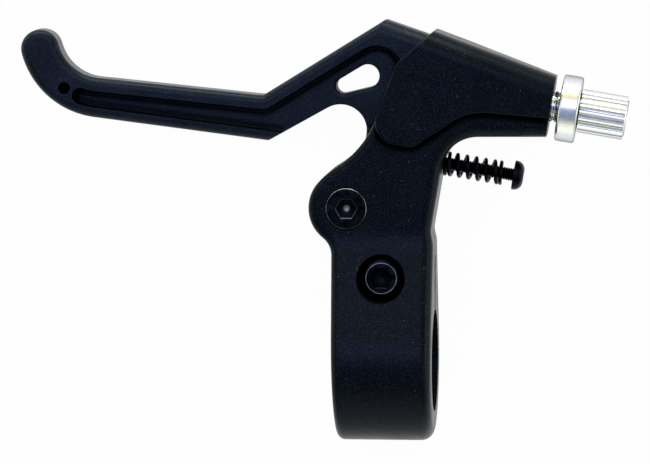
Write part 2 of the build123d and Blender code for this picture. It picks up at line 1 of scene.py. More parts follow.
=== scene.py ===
# %% [markdown]
# # A bicycle brake lever in Blender
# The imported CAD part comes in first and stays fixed: a bracket that clamps the handlebar, a lever
# with a hooked blade, its bolts, a reach screw with a spring, and a barrel adjuster. Everything is
# in metres, with the handlebar's axis along X, the lever out along Y and up along Z. The moulded
# pieces keep their CAD shape and get a finish here. The small turned and wound pieces are made
# again with real threads, ribs and coils, because a plain cylinder would show in a close view.

from math import cos, pi, radians, sin

import bmesh
import bpy
from mathutils import Matrix, Vector


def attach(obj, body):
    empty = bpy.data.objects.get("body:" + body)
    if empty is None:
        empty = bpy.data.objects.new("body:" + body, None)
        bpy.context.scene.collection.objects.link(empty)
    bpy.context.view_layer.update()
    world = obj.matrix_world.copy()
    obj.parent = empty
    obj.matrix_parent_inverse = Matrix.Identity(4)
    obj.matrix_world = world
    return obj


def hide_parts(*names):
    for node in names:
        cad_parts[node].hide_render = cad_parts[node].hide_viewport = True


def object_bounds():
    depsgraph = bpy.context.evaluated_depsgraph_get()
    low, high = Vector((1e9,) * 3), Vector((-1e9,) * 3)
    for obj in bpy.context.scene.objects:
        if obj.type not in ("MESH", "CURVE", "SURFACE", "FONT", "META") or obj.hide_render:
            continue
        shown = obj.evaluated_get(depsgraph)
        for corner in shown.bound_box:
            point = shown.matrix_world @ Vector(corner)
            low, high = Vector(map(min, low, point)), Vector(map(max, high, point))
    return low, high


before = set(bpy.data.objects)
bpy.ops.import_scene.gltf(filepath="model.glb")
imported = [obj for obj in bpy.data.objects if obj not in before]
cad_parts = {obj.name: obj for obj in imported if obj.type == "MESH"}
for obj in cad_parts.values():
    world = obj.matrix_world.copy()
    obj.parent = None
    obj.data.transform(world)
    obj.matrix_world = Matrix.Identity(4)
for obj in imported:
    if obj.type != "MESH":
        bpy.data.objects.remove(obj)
cad_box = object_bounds()
scene = bpy.context.scene
scene.view_settings.view_transform = "Standard"
print("CAD nodes:", ", ".join(sorted(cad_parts)))
print("CAD box in mm:", [[round(1000 * x, 1) for x in corner] for corner in cad_box])

# %% [markdown]
# ## Two small helpers
# Blender's shaders work in linear light, but a colour is easiest to read as the hex value that a
# screen shows. One function turns the second into the first. Another adds a node to a tree, sets
# its options and fills its inputs: with a plain value, with a socket, or with an earlier node, whose
# first output in use is then linked. The same function serves materials and Geometry Nodes, so each
# tree reads as a list of its nodes.

# %% Colour and node helpers
MM = 0.001


def linear(hex_code):
    """An sRGB hex colour as linear red, green, blue and alpha."""
    values = [int(hex_code[i:i + 2], 16) / 255 for i in (1, 3, 5)]
    return [v / 12.92 if v <= 0.04045 else ((v + 0.055) / 1.055) ** 2.4 for v in values] + [1.0]


def add_node(tree, kind, inputs=None, **settings):
    """Adds one node, with its options as settings. Each input named gets a plain value, or a link from
    a socket or from the first output in use of an earlier node."""
    node = tree.nodes.new(kind)
    for name, value in settings.items():
        setattr(node, name, value)
    for name, value in (inputs or {}).items():
        if isinstance(value, bpy.types.Node):
            value = next(output for output in value.outputs if output.enabled)
        if isinstance(value, bpy.types.NodeSocket):
            tree.links.new(value, node.inputs[name])
        else:
            node.inputs[name].default_value = value
    return node


print("black moulding in linear light:", [round(v, 4) for v in linear("#14171f")])

# %% [markdown]
# ## Starting and ending a material
# Every finish below is one Principled shader fed by patterns. The patterns read Object coordinates,
# so they are fixed to the piece in metres and move with it. A noise scale is one over the size of
# its blotches, so each scale is written as one over a length in millimetres. Hollows get painted
# shade, and an Ambient Occlusion node finds them by how much of their surroundings a spot sees.

# %% A new material, its shader and its hollows
def start_finish(name):
    """A material with an empty tree, and the Object coordinates in it."""
    finish = bpy.data.materials.new(name)
    finish.use_nodes = True
    tree = finish.node_tree
    tree.nodes.clear()
    return finish, tree, add_node(tree, "ShaderNodeTexCoord").outputs["Object"]


def end_finish(finish, inputs):
    """Ends a material with a Principled shader of these inputs."""
    tree = finish.node_tree
    shader = add_node(tree, "ShaderNodeBsdfPrincipled", inputs)
    add_node(tree, "ShaderNodeOutputMaterial", {"Surface": shader})
    print(finish.name, "has", len(tree.nodes), "nodes")


def open_share(tree, reach, least, most):
    """How open a spot is, from 0 in a hollow to 1 on a free face, by what it sees within a reach."""
    seen = add_node(tree, "ShaderNodeAmbientOcclusion", {"Distance": reach}, samples=8, only_local=True)
    return add_node(tree, "ShaderNodeMapRange", {
        "Value": seen.outputs["AO"], "From Min": least, "From Max": most})


# %% [markdown]
# ## Moulded black nylon
# The bracket and the lever are injection moulded in black glass-filled nylon. The mould was spark
# eroded, so the skin has a fine pebble that breaks up reflections: the faces stay a dark bluish
# black and only the rounded edges catch a soft grey line. The pebble is about 0.15 mm on the real
# skin and is drawn at 0.26 mm, because at the photograph's size a finer one would not show. The
# melt leaves cloudy patches a few millimetres wide that are a little duller or shinier.

# %% Melt clouds and pebble
CLOUD = 6.0 * MM
PEBBLE = 0.26 * MM


def pebbled_melt(tree, cloud, pebble, dark, light, speck):
    """The colour of a melt that is cloudy between dark and light, with specks on its pebble's tops."""
    melt = add_node(tree, "ShaderNodeMapRange", {"Value": cloud, "From Min": 0.32, "From Max": 0.7})
    colour = add_node(tree, "ShaderNodeMix", {
        "Factor": melt, 6: linear(dark), 7: linear(light)}, data_type="RGBA")
    tops = add_node(tree, "ShaderNodeMapRange", {
        "Value": pebble, "From Min": 0.53, "From Max": 0.72, "To Max": 0.8})
    return add_node(tree, "ShaderNodeMix", {"Factor": tops, 6: colour, 7: linear(speck)}, data_type="RGBA")


# %% [markdown]
# Handling leaves thin rubbed scratches, and specks of dust lie on the skin. The scratches are a noise
# that is stretched along a slant. The dust is a Voronoi pattern, where each cell has a colour of its
# own by chance, and only the few cells with a high one get a grain.

# %% Scratches and dust
RUB = 1.2 * MM
RUB_SLANT = radians(38)
DUST = 0.5 * MM


def handled(tree, place, colour):
    """A colour with thin rubbed scratches and specks of dust on it."""
    stretched = add_node(tree, "ShaderNodeMapping", {
        "Vector": place, "Rotation": (0.0, 0.0, RUB_SLANT), "Scale": (0.12, 1.0, 1.0)})
    rubbed = add_node(tree, "ShaderNodeTexNoise", {
        "Vector": stretched, "Scale": 1 / RUB, "Detail": 5.0, "Roughness": 0.65})
    scratch = add_node(tree, "ShaderNodeMapRange", {
        "Value": rubbed, "From Min": 0.66, "From Max": 0.76, "To Max": 0.4})
    wear_and_highlight = add_node(tree, "ShaderNodeMix", {
        "Factor": scratch, 6: colour, 7: linear("#252a36")}, data_type="RGBA")
    grains = add_node(tree, "ShaderNodeTexVoronoi", {"Vector": place, "Scale": 1 / DUST}).outputs
    chance = add_node(tree, "ShaderNodeSeparateColor", {"Color": grains["Color"]}).outputs["Red"]
    grain_size = add_node(tree, "ShaderNodeMapRange", {"Value": chance, "From Min": 0.96, "To Max": 0.26})
    grain = add_node(tree, "ShaderNodeMath", {0: grains["Distance"], 1: grain_size}, operation="LESS_THAN")
    return add_node(tree, "ShaderNodeMix", {
        "Factor": grain, 6: wear_and_highlight, 7: linear("#434c5e")}, data_type="RGBA")


# %% [markdown]
# The pebble is a relief too, and the two halves of the mould meet in a fine line at mid height. Two
# Bump nodes in a row give both, because the second one takes the first one's normal and adds to it.

# %% Relief of the skin
SKIN_RELIEF = 0.05 * MM
PARTING_LINE = 0.09 * MM


def skin_relief(tree, place, pebble):
    """The normal of a pebbled skin with the mould's parting line on it."""
    skin = add_node(tree, "ShaderNodeBump", {"Height": pebble, "Strength": 0.5, "Distance": SKIN_RELIEF})
    height = add_node(tree, "ShaderNodeSeparateXYZ", {"Vector": place}).outputs["Z"]
    from_middle = add_node(tree, "ShaderNodeMath", {0: height}, operation="ABSOLUTE")
    ridge = add_node(tree, "ShaderNodeMapRange", {
        "Value": from_middle, "From Max": PARTING_LINE, "To Min": 1.0, "To Max": 0.0},
        interpolation_type="SMOOTHSTEP")
    return add_node(tree, "ShaderNodeBump", {
        "Height": ridge, "Strength": 0.6, "Distance": SKIN_RELIEF, "Normal": skin})


# %% [markdown]
# The inside corners get painted shade, which darkens their colour and takes their sheen away. The
# lever's finish is a little lighter and shinier than the bracket's.

# %% Moulded black nylon
CORNER_SHADE_REACH = 1.8 * MM
NYLON_IOR = 1.53


def moulded_nylon(name, dark, light, speck, sheen):
    """Black nylon between a dark and a light melt, with specks of a colour and a strength of sheen."""
    finish, tree, place = start_finish(name)
    cloud = add_node(tree, "ShaderNodeTexNoise", {"Vector": place, "Scale": 1 / CLOUD, "Detail": 3.0})
    pebble = add_node(tree, "ShaderNodeTexNoise", {"Vector": place, "Scale": 1 / PEBBLE, "Detail": 2.0})
    colour = handled(tree, place, pebbled_melt(tree, cloud, pebble, dark, light, speck))
    unshaded = open_share(tree, CORNER_SHADE_REACH, 0.87, 0.99)
    # Painted shade: the colour darkens to near black in inside corners, and the sheen is lowered there.
    corner_shaded = add_node(tree, "ShaderNodeMix", {
        "Factor": unshaded, 6: linear("#010102"), 7: colour}, data_type="RGBA")
    dull = add_node(tree, "ShaderNodeMapRange", {
        "Value": cloud, "From Min": 0.3, "From Max": 0.7, "To Min": 0.27, "To Max": 0.36})
    gloss = add_node(tree, "ShaderNodeMath", {0: unshaded, 1: sheen}, operation="MULTIPLY")
    end_finish(finish, {
        "Base Color": corner_shaded,
        "Roughness": dull,
        "IOR": NYLON_IOR,
        "Specular IOR Level": gloss,
        "Specular Tint": linear("#c4d5fc"),
        "Normal": skin_relief(tree, place, pebble),
    })
    return finish


bracket_nylon = moulded_nylon("moulded_black_nylon_bracket", "#010205", "#030509", "#202838", 0.1)
lever_nylon = moulded_nylon("moulded_black_nylon_lever", "#05070e", "#0c101c", "#2b3448", 0.17)

# %% [markdown]
# ## Painted highlights on a bolt's head
# A bright steel colour is painted where light catches a blackened bolt: on the head's
# rim, at the mouth of the socket, and on the drilled point at the socket's bottom. All three are
# measured from the bolt's own axis. The rim is a line at one distance from it. The socket's mouth is
# a line at one distance across the flats, which is the largest of the distances along three
# directions.

# %% Shares of painted highlight
MOUTH_FULL = 0.04 * MM
MOUTH_END = 0.14 * MM
MOUTH_SHARE = 0.13
POINT_SHARE = 0.6


def highlight_line(tree, distance, middle, full, end, most):
    """A share at its most where a distance is as near as full to a middle one, and none past an end."""
    past = add_node(tree, "ShaderNodeMath", {0: distance, 1: middle}, operation="SUBTRACT")
    off = add_node(tree, "ShaderNodeMath", {0: past}, operation="ABSOLUTE")
    return add_node(tree, "ShaderNodeMapRange", {
        "Value": off, "From Min": full, "From Max": end, "To Min": most, "To Max": 0.0},
        interpolation_type="SMOOTHSTEP")


def socket_highlight(tree, from_axis, away, mouth, point):
    """The share at the mouth of a hex socket, half as wide as given, and within its drilled point."""
    across = 0.0
    for turn in (30, 90, 150):
        way = (cos(radians(turn)), sin(radians(turn)), 0.0)
        along = add_node(tree, "ShaderNodeVectorMath", {0: from_axis, 1: way}, operation="DOT_PRODUCT")
        side = add_node(tree, "ShaderNodeMath", {0: along}, operation="ABSOLUTE")
        across = add_node(tree, "ShaderNodeMath", {0: across, 1: side}, operation="MAXIMUM")
    mouth_highlight = highlight_line(tree, across, mouth, MOUTH_FULL, MOUTH_END, MOUTH_SHARE)
    point_highlight = add_node(tree, "ShaderNodeMapRange", {
        "Value": away, "From Min": 0.2 * point, "From Max": point, "To Min": POINT_SHARE, "To Max": 0.0},
        interpolation_type="SMOOTHSTEP")
    return add_node(tree, "ShaderNodeMath", {0: mouth_highlight, 1: point_highlight}, operation="MAXIMUM")


def painted_head_highlights(tree, place, blotch, colour, axis, ring, socket):
    """A colour with a painted highlight on a head's ring and in its socket, round an axis, with sizes in
    mm.
    """
    centre = (axis[0] * MM, axis[1] * MM, 0.0)
    flat = add_node(tree, "ShaderNodeVectorMath", {0: place, 1: (1.0, 1.0, 0.0)}, operation="MULTIPLY")
    away = add_node(tree, "ShaderNodeVectorMath", {0: flat, 1: centre}, operation="DISTANCE")
    radius, width = [size * MM for size in ring]
    rim = highlight_line(tree, away, radius, 0.3 * width, width, 1.0)
    highlight_share = add_node(tree, "ShaderNodeMath", {0: rim, 1: blotch}, operation="MULTIPLY")
    if socket:
        from_axis = add_node(tree, "ShaderNodeVectorMath", {0: flat, 1: centre}, operation="SUBTRACT")
        wear_and_highlight = socket_highlight(tree, from_axis, away, *[size * MM for size in socket])
        highlight_share = add_node(tree, "ShaderNodeMath", {0: highlight_share, 1: wear_and_highlight}, operation="MAXIMUM")
    # Painted highlight: a bright steel colour on the head's rim, at the socket's mouth and on its drilled
    # point.
    return add_node(tree, "ShaderNodeMix", {
        "Factor": highlight_share, 6: colour, 7: linear("#b4b7ba")}, data_type="RGBA")


# %% [markdown]
# ## Black-oxide steel
# The bolts, nuts, reach screw and spring are steel dipped in hot black oxide and oiled. The layer
# is thin, so the metal still mirrors the light, only darkly, and it is slightly blotchy where the
# oil has pooled. A dark metal colour and an uneven roughness give that, and the index of
# refraction stays at its default because a metal doesn't use it. The sockets and the gaps between
# the coils get painted shade, which blackens them. Both bolt heads get a painted highlight at the
# rim, and the pivot bolt's in its socket too.

# %% Black-oxide steel
OIL_BLOTCH = 1.5 * MM
HOLLOW_SHADE_REACH = 2.0 * MM
PIVOT_AT = (-8.0, 33.6)
CLAMP_BOLT_AT = (-0.35, 18.65)


def set_stops(ramp, stops):
    """Gives a colour ramp its stops in order, each a place from 0 to 1 and a linear colour."""
    elements = ramp.color_ramp.elements
    while len(elements) < len(stops):
        elements.new(1.0)
    for stop, (spot, colour) in zip(elements, stops):
        stop.position = spot
        stop.color = colour


def black_oxide(name, axis=None, ring=None, socket=None):
    """Blackened steel. Round an axis it may get a painted highlight on a ring, given by its radius
    and width, and in a socket, given by half its width and its drilled point's radius, all in mm."""
    finish, tree, place = start_finish(name)
    blotch = add_node(tree, "ShaderNodeTexNoise", {"Vector": place, "Scale": 1 / OIL_BLOTCH, "Detail": 4.0})
    colour = add_node(tree, "ShaderNodeValToRGB", {"Fac": blotch})
    set_stops(colour, [(0.35, linear("#07080d")), (0.72, linear("#171a23"))])
    if axis:
        colour = painted_head_highlights(tree, place, blotch, colour, axis, ring, socket)
    unshaded_steel = open_share(tree, HOLLOW_SHADE_REACH, 0.3, 0.9)
    # Painted shade: the colour darkens to near black in sockets and between the coils.
    hollow_shaded = add_node(tree, "ShaderNodeMix", {
        "Factor": unshaded_steel, 6: linear("#020203"), 7: colour}, data_type="RGBA")
    oily = add_node(tree, "ShaderNodeMapRange", {
        "Value": blotch, "From Min": 0.3, "From Max": 0.7, "To Min": 0.28, "To Max": 0.46})
    end_finish(finish, {"Base Color": hollow_shaded, "Roughness": oily, "Metallic": 1.0})
    return finish


black_steel = black_oxide("black_oxide_steel")
pivot_head_steel = black_oxide(
    "black_oxide_steel_pivot_head", PIVOT_AT, ring=(4.4, 0.13), socket=(2.05, 0.95))
clamp_head_steel = black_oxide("black_oxide_steel_clamp_head", CLAMP_BOLT_AT, ring=(3.3, 0.1))

# %% [markdown]
# ## Bright turned aluminium
# The barrel and its lock nut are turned on a lathe and tumbled bright. The tool leaves fine rings
# round the axis, so the pattern has to follow the adjuster's own slanted axis: a Mapping node turns
# the coordinates until that axis lies along X, and a wave along X draws the rings. They are about
# 0.1 mm apart on the real part and are drawn at 0.25 mm so that they show. On a metal, Specular Tint
# colours the light that glances off its edges, and a grey there sets them off from the white floor.

# %% Bright turned aluminium
ARM_DROOP = radians(9.4)
TOOL_RING = 0.25 * MM
TOOL_DEPTH = 0.008 * MM
TUMBLE_MARK = 0.8 * MM
# The width of a Wave texture's band at a scale of 1
WAVE_BAND = 2 * pi / 20

turned_aluminium, tree, place = start_finish("bright_turned_aluminium")
on_axis = add_node(tree, "ShaderNodeMapping", {"Vector": place, "Rotation": (0.0, 0.0, ARM_DROOP)})
rings = add_node(tree, "ShaderNodeTexWave", {
    "Vector": on_axis, "Scale": WAVE_BAND / TOOL_RING, "Distortion": 0.6, "Detail": 1.0,
    "Detail Scale": 2.0}, bands_direction="X")
grooves = add_node(tree, "ShaderNodeBump", {
    "Height": rings.outputs["Fac"], "Strength": 0.15, "Distance": TOOL_DEPTH})
tumbled = add_node(tree, "ShaderNodeTexNoise", {"Vector": place, "Scale": 1 / TUMBLE_MARK, "Detail": 4.0})
metal = add_node(tree, "ShaderNodeValToRGB", {"Fac": tumbled})
set_stops(metal, [(0.3, linear("#e2e3e8")), (0.7, linear("#f0f0f3"))])
satin = add_node(tree, "ShaderNodeMapRange", {
    "Value": tumbled, "From Min": 0.3, "From Max": 0.7, "To Min": 0.17, "To Max": 0.23})
end_finish(turned_aluminium, {
    "Base Color": metal, "Roughness": satin, "Metallic": 1.0, "Specular Tint": linear("#98a39c"),
    "Normal": grooves})

# %% [markdown]
# ## Brass and natural nylon
# The bush inside the lever's eye is plain turned brass, and the two thin washers beside it are
# punched from undyed nylon sheet. Both are nearly hidden, but they show in a view through the slot.
# Brass gets faint darker tarnish, and the nylon lets a little light into its surface, which makes
# it look milky.

# %% Brass and natural nylon
TARNISH = 2.0 * MM
SHEET_CLOUD = 3.0 * MM

turned_brass, tree, place = start_finish("plain_turned_brass")
tarnish = add_node(tree, "ShaderNodeTexNoise", {"Vector": place, "Scale": 1 / TARNISH, "Detail": 3.0})
brass = add_node(tree, "ShaderNodeMix", {
    "Factor": tarnish, 6: linear("#c9a45c"), 7: linear("#a9823f")}, data_type="RGBA")
end_finish(turned_brass, {"Base Color": brass, "Roughness": 0.32, "Metallic": 1.0})

natural_nylon, tree, place = start_finish("punched_natural_nylon")
milky = add_node(tree, "ShaderNodeTexNoise", {"Vector": place, "Scale": 1 / SHEET_CLOUD, "Detail": 2.0})
sheet = add_node(tree, "ShaderNodeMix", {
    "Factor": milky, 6: linear("#e6e2d4"), 7: linear("#d8d2c0")}, data_type="RGBA")
end_finish(natural_nylon, {
    "Base Color": sheet, "Roughness": 0.5, "IOR": NYLON_IOR, "Subsurface Weight": 0.15,
    "Subsurface Radius": (0.6 * MM, 0.6 * MM, 0.5 * MM)})

# %% [markdown]
# ## Finishing the CAD pieces
# These pieces have the right shape already, so each one only swaps its flat colour for a finish.

# %% Give the CAD pieces their finishes
FINISHES = {
    "bracket": bracket_nylon,
    "lever_blade": lever_nylon,
    "pivot_nut": black_steel,
    "clamp_nut": black_steel,
    "pivot_bush": turned_brass,
    "upper_pivot_washer": natural_nylon,
    "lower_pivot_washer": natural_nylon,
}
for node, finish in FINISHES.items():
    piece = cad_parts[node]
    piece.data.materials.clear()
    piece.data.materials.append(finish)
    print(node, "->", finish.name)

# %% [markdown]
# ## The slanted axis of the cable arm
# The adjuster and the reach screw both point along the arm, which droops a little from the bar's
# direction. A turned piece is easiest to make upright, with its axis on Z, and to lay on the arm
# afterwards. This matrix does that: Z goes along the arm and the origin goes beside the pivot.

# %% Axes along the arm
PIVOT = Vector((*PIVOT_AT, 0.0))
ALONG = Vector((cos(ARM_DROOP), -sin(ARM_DROOP), 0.0))
OUT = Vector((sin(ARM_DROOP), cos(ARM_DROOP), 0.0))
UP = Vector((0.0, 0.0, 1.0))
CABLE_OUT = 28.8
REACH_OUT = 12.65


def lay_on_arm(out):
    """Matrix that lays an upright piece in metres on an axis along the arm, out from the pivot in mm."""
    turn = Matrix((UP, ALONG.cross(UP), ALONG)).transposed().to_4x4()
    return Matrix.Translation((PIVOT + out * OUT) * MM) @ turn


print("the cable's axis passes", [round(x, 2) for x in PIVOT + CABLE_OUT * OUT], "mm")

# %% [markdown]
# ## Starting and ending a Geometry Nodes tree
# What is wound, threaded or repeated is made by a tree of Geometry Nodes, with its sizes as named
# inputs. Every tree starts and ends alike: at the end its instances become plain mesh and take the
# finish. The spring and the threads both wind round an axis, so a place on such a path, by its angle,
# its radius and its height, is a function too.

# %% Start, wind and end a tree
def new_tree(name, sizes):
    """A Geometry Nodes tree with its input and output, and a named input for each size."""
    tree = bpy.data.node_groups.new(name, "GeometryNodeTree")
    tree.interface.new_socket("Geometry", in_out="INPUT", socket_type="NodeSocketGeometry")
    tree.interface.new_socket("Geometry", in_out="OUTPUT", socket_type="NodeSocketGeometry")
    for size, kind in sizes.items():
        tree.interface.new_socket(size, in_out="INPUT", socket_type=kind)
    return tree, add_node(tree, "NodeGroupInput").outputs


def round_axis(tree, angle, radius, height):
    """A place by its angle about Z, its radius and its height."""
    across = add_node(tree, "ShaderNodeMath", {0: angle}, operation="COSINE")
    aside = add_node(tree, "ShaderNodeMath", {0: angle}, operation="SINE")
    circle = add_node(tree, "ShaderNodeCombineXYZ", {"X": across, "Y": aside})
    flat = add_node(tree, "ShaderNodeVectorMath", {0: circle, "Scale": radius}, operation="SCALE")
    lift = add_node(tree, "ShaderNodeCombineXYZ", {"Z": height})
    return add_node(tree, "ShaderNodeVectorMath", {0: flat, 1: lift}, operation="ADD")


def end_tree(tree, geometry, finish):
    """Ends a tree with its geometry as plain mesh in a finish."""
    whole = add_node(tree, "GeometryNodeRealizeInstances", {"Geometry": geometry})
    dressed = add_node(tree, "GeometryNodeSetMaterial", {"Geometry": whole, "Material": finish})
    add_node(tree, "NodeGroupOutput", {"Geometry": dressed})
    print(tree.name, "has", len(tree.nodes), "nodes")


# %% [markdown]
# ## The reach spring
# The spring is a length of wire wound round the reach screw, with its end turns closed so that they
# sit flat. A Screw modifier can only give one steady pitch. Here a line of points gets its place
# from a rule instead: the angle grows evenly and the height grows slowly in the closed turns and
# faster between them. The points become a curve, and a circle swept along it is the wire.

# %% Spring tree
SPRING_SIZES = {
    "Coil radius": "NodeSocketFloat",
    "Wire radius": "NodeSocketFloat",
    "Turns": "NodeSocketFloat",
    "Closed turns": "NodeSocketFloat",
    "Closed pitch": "NodeSocketFloat",
    "Open pitch": "NodeSocketFloat",
    "Steps in a turn": "NodeSocketInt",
    "Finish": "NodeSocketMaterial",
}
tree, size = new_tree("wound_spring", SPRING_SIZES)
steps = add_node(tree, "ShaderNodeMath", {
    0: size["Turns"], 1: size["Steps in a turn"]}, operation="MULTIPLY")
points = add_node(tree, "GeometryNodeMeshLine", {"Count": steps})
index = add_node(tree, "GeometryNodeInputIndex")
turn = add_node(tree, "ShaderNodeMath", {0: index, 1: size["Steps in a turn"]}, operation="DIVIDE")
angle = add_node(tree, "ShaderNodeMath", {0: turn, 1: 2 * pi}, operation="MULTIPLY")
last_open = add_node(tree, "ShaderNodeMath", {
    0: size["Turns"], 1: size["Closed turns"]}, operation="SUBTRACT")
open_turn = add_node(tree, "ShaderNodeClamp", {
    "Value": turn, "Min": size["Closed turns"], "Max": last_open})
opened = add_node(tree, "ShaderNodeMath", {0: open_turn, 1: size["Closed turns"]}, operation="SUBTRACT")
closed = add_node(tree, "ShaderNodeMath", {0: turn, 1: opened}, operation="SUBTRACT")
closed_rise = add_node(tree, "ShaderNodeMath", {0: closed, 1: size["Closed pitch"]}, operation="MULTIPLY")
rise = add_node(tree, "ShaderNodeMath", {
    0: opened, 1: size["Open pitch"], 2: closed_rise}, operation="MULTIPLY_ADD")
spot = round_axis(tree, angle, size["Coil radius"], rise)
wound = add_node(tree, "GeometryNodeSetPosition", {"Geometry": points, "Position": spot})
path = add_node(tree, "GeometryNodeMeshToCurve", {"Mesh": wound})
wire = add_node(tree, "GeometryNodeCurvePrimitiveCircle", {"Resolution": 10, "Radius": size["Wire radius"]})
swept = add_node(tree, "GeometryNodeCurveToMesh", {"Curve": path, "Profile Curve": wire, "Fill Caps": True})
end_tree(tree, swept, size["Finish"])
spring_tree = tree

# %% [markdown]
# ## Baking a tree
# A tree is run once on an object and its result is kept as a plain mesh, because the finished model
# holds no live modifiers. A modifier knows the tree's inputs only by their identifiers, so they are
# looked up by name first. Faces are then turned outwards, edges that bend sharply stay crisp while
# the rest shade smoothly, and the mesh is laid in its place.

# %% Run a tree and keep its mesh
SHARP = radians(32)


def bake(name, tree, sizes, start=None, turn=None):
    """Runs a tree on an object with these sizes, and returns the object with a plain mesh."""
    piece = bpy.data.objects.new(name, start or bpy.data.meshes.new(name))
    scene.collection.objects.link(piece)
    modifier = piece.modifiers.new(tree.name, "NODES")
    modifier.node_group = tree
    for socket in tree.interface.items_tree:
        if socket.in_out == "INPUT" and socket.name in sizes:
            modifier[socket.identifier] = sizes[socket.name]
    bpy.context.view_layer.update()
    seen = piece.evaluated_get(bpy.context.evaluated_depsgraph_get())
    mesh = bpy.data.meshes.new_from_object(seen)
    piece.modifiers.remove(modifier)
    piece.data = mesh
    mesh.name = name
    shape = bmesh.new()
    shape.from_mesh(mesh)
    bmesh.ops.recalc_face_normals(shape, faces=shape.faces)
    for face in shape.faces:
        face.smooth = True
    for edge in shape.edges:
        edge.smooth = edge.is_manifold and edge.calc_face_angle() < SHARP
    shape.to_mesh(mesh)
    shape.free()
    mesh.transform(turn or Matrix())
    print(name, "has", len(mesh.polygons), "faces")
    return piece


# %% [markdown]
# The spring stands on the bracket's back edge and ends short of the screw's head, as in the
# photograph, where about six turns are seen and the last ones lie close together.

# %% Wind the spring
SPRING_SEAT = 18.75
SPRING_LENGTH = 13.2
SPRING_OUTER = 5.4
WIRE = 0.8
SEAT_GAP = 0.02
CLOSED_TURNS = 1.0
SPRING_TURNS = 7.25

wire_height = SPRING_LENGTH - WIRE - 2 * SEAT_GAP
open_pitch = (wire_height - 2 * CLOSED_TURNS * WIRE) / (SPRING_TURNS - 2 * CLOSED_TURNS)
first_height = SPRING_SEAT + SEAT_GAP + WIRE / 2
spring = bake("wound_reach_spring", spring_tree, {
    "Coil radius": (SPRING_OUTER - WIRE) / 2 * MM,
    "Wire radius": WIRE / 2 * MM,
    "Turns": SPRING_TURNS,
    "Closed turns": CLOSED_TURNS,
    "Closed pitch": WIRE * MM,
    "Open pitch": open_pitch * MM,
    "Steps in a turn": 40,
    "Finish": black_steel,
}, turn=lay_on_arm(REACH_OUT) @ Matrix.Translation((0, 0, first_height * MM)))
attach(spring, "bracket")
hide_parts("reach_spring")
print("open pitch", round(open_pitch, 2), "mm")

# %% [markdown]
# ## The reach screw
# The reach screw is a small machine screw with a domed head. Screws, bolts, nuts and barrels are
# solids of revolution: a closed line of radius and height, turned about Z. The Screw modifier or
# bmesh's spin could do it, but writing the rings directly gives clean quads that need no welding
# afterwards, with the poles already closed. Every turned rim here is a quarter round.

# %% Turn the domed head
REACH_SEAT = 34.05
HEAD_RADIUS = 3.2
HEAD_HEIGHT = 2.2
HEAD_RIM = 0.3
HEAD_SEGMENTS = 64
EDGE_BREAK = 0.1


def turn_profile(name, profile, segments):
    """A mesh in metres, turned about Z from a closed line of (radius, height) in mm."""
    shape = bmesh.new()
    rings = []
    for radius, height in profile:
        count = segments if radius > 0 else 1
        spots = [2 * pi * i / count for i in range(count)]
        points = [(radius * cos(a) * MM, radius * sin(a) * MM, height * MM) for a in spots]
        rings.append([shape.verts.new(point) for point in points])
    for low, high in zip(rings, rings[1:] + rings[:1]):
        if len(low) == 1 and len(high) == 1:
            continue
        for i in range(segments):
            j = (i + 1) % segments
            corners = [low[i % len(low)], low[j % len(low)], high[j % len(high)], high[i % len(high)]]
            shape.faces.new(list(dict.fromkeys(corners)))
    bmesh.ops.recalc_face_normals(shape, faces=shape.faces)
    mesh = bpy.data.meshes.new(name)
    shape.to_mesh(mesh)
    shape.free()
    return mesh


def rounded_rim(radius, top, size, steps):
    """Points in mm of a quarter round of a size, from the side at a radius up to the top."""
    bends = [radians(90) * i / steps for i in range(steps + 1)]
    return [(radius - size * (1 - cos(bend)), top - size * (1 - sin(bend))) for bend in bends]


def head_line(radius, seat, top, rim, steps):
    """The closed line in mm of a head with a broken lower edge and a rounded rim."""
    lower_edge = [(0, seat), (radius - EDGE_BREAK, seat), (radius, seat + EDGE_BREAK)]
    return [*lower_edge, *rounded_rim(radius, top, rim, steps), (0, top)]


head_top = REACH_SEAT + HEAD_HEIGHT
domed = head_line(HEAD_RADIUS, REACH_SEAT, head_top, HEAD_HEIGHT - HEAD_RIM, steps=14)
domed_head = turn_profile("domed_head", domed, HEAD_SEGMENTS)
print("domed_head has", len(domed_head.polygons), "faces")

# %% [markdown]
# Its cross recess runs nearly to the head's edge. A punch presses such a recess in. Here a punch is
# a skin over a stack of outlines, wider at its mouth, and a Boolean takes it out of the turned blank.
# The Boolean is applied at once, so only the finished mesh is left. The cross is two tapered slots.

# %% Press the cross recess
RECESS_DEPTH = 1.2
RECESS_FLOOR = (0.6, 0.3)
RECESS_MOUTH = (2.3, 0.42)
PUNCH_PAST = 0.3


def stacked_punch(name, stacks):
    """A closed mesh in metres for each stack of (height, corners) in mm, all in one."""
    shape = bmesh.new()
    for stack in stacks:
        loops = [[shape.verts.new((x * MM, y * MM, z * MM)) for x, y in corners] for z, corners in stack]
        shape.faces.new(loops[0])
        shape.faces.new(loops[-1])
        for low, high in zip(loops, loops[1:]):
            for i in range(len(low)):
                j = (i + 1) % len(low)
                shape.faces.new([low[i], low[j], high[j], high[i]])
    bmesh.ops.recalc_face_normals(shape, faces=shape.faces)
    mesh = bpy.data.meshes.new(name)
    shape.to_mesh(mesh)
    shape.free()
    return mesh


def press_recess(blank, punch):
    """The blank with the punch's shape taken out of it."""
    piece = bpy.data.objects.new("blank", blank)
    tool = bpy.data.objects.new("punch", punch)
    scene.collection.objects.link(piece)
    scene.collection.objects.link(tool)
    cut = piece.modifiers.new("recess", "BOOLEAN")
    cut.object = tool
    cut.operation = "DIFFERENCE"
    cut.solver = "EXACT"
    cut.use_self = True
    bpy.context.view_layer.update()
    mesh = bpy.data.meshes.new_from_object(piece.evaluated_get(bpy.context.evaluated_depsgraph_get()))
    bpy.data.objects.remove(piece)
    bpy.data.objects.remove(tool)
    print("recess pressed:", len(mesh.polygons), "faces")
    return mesh


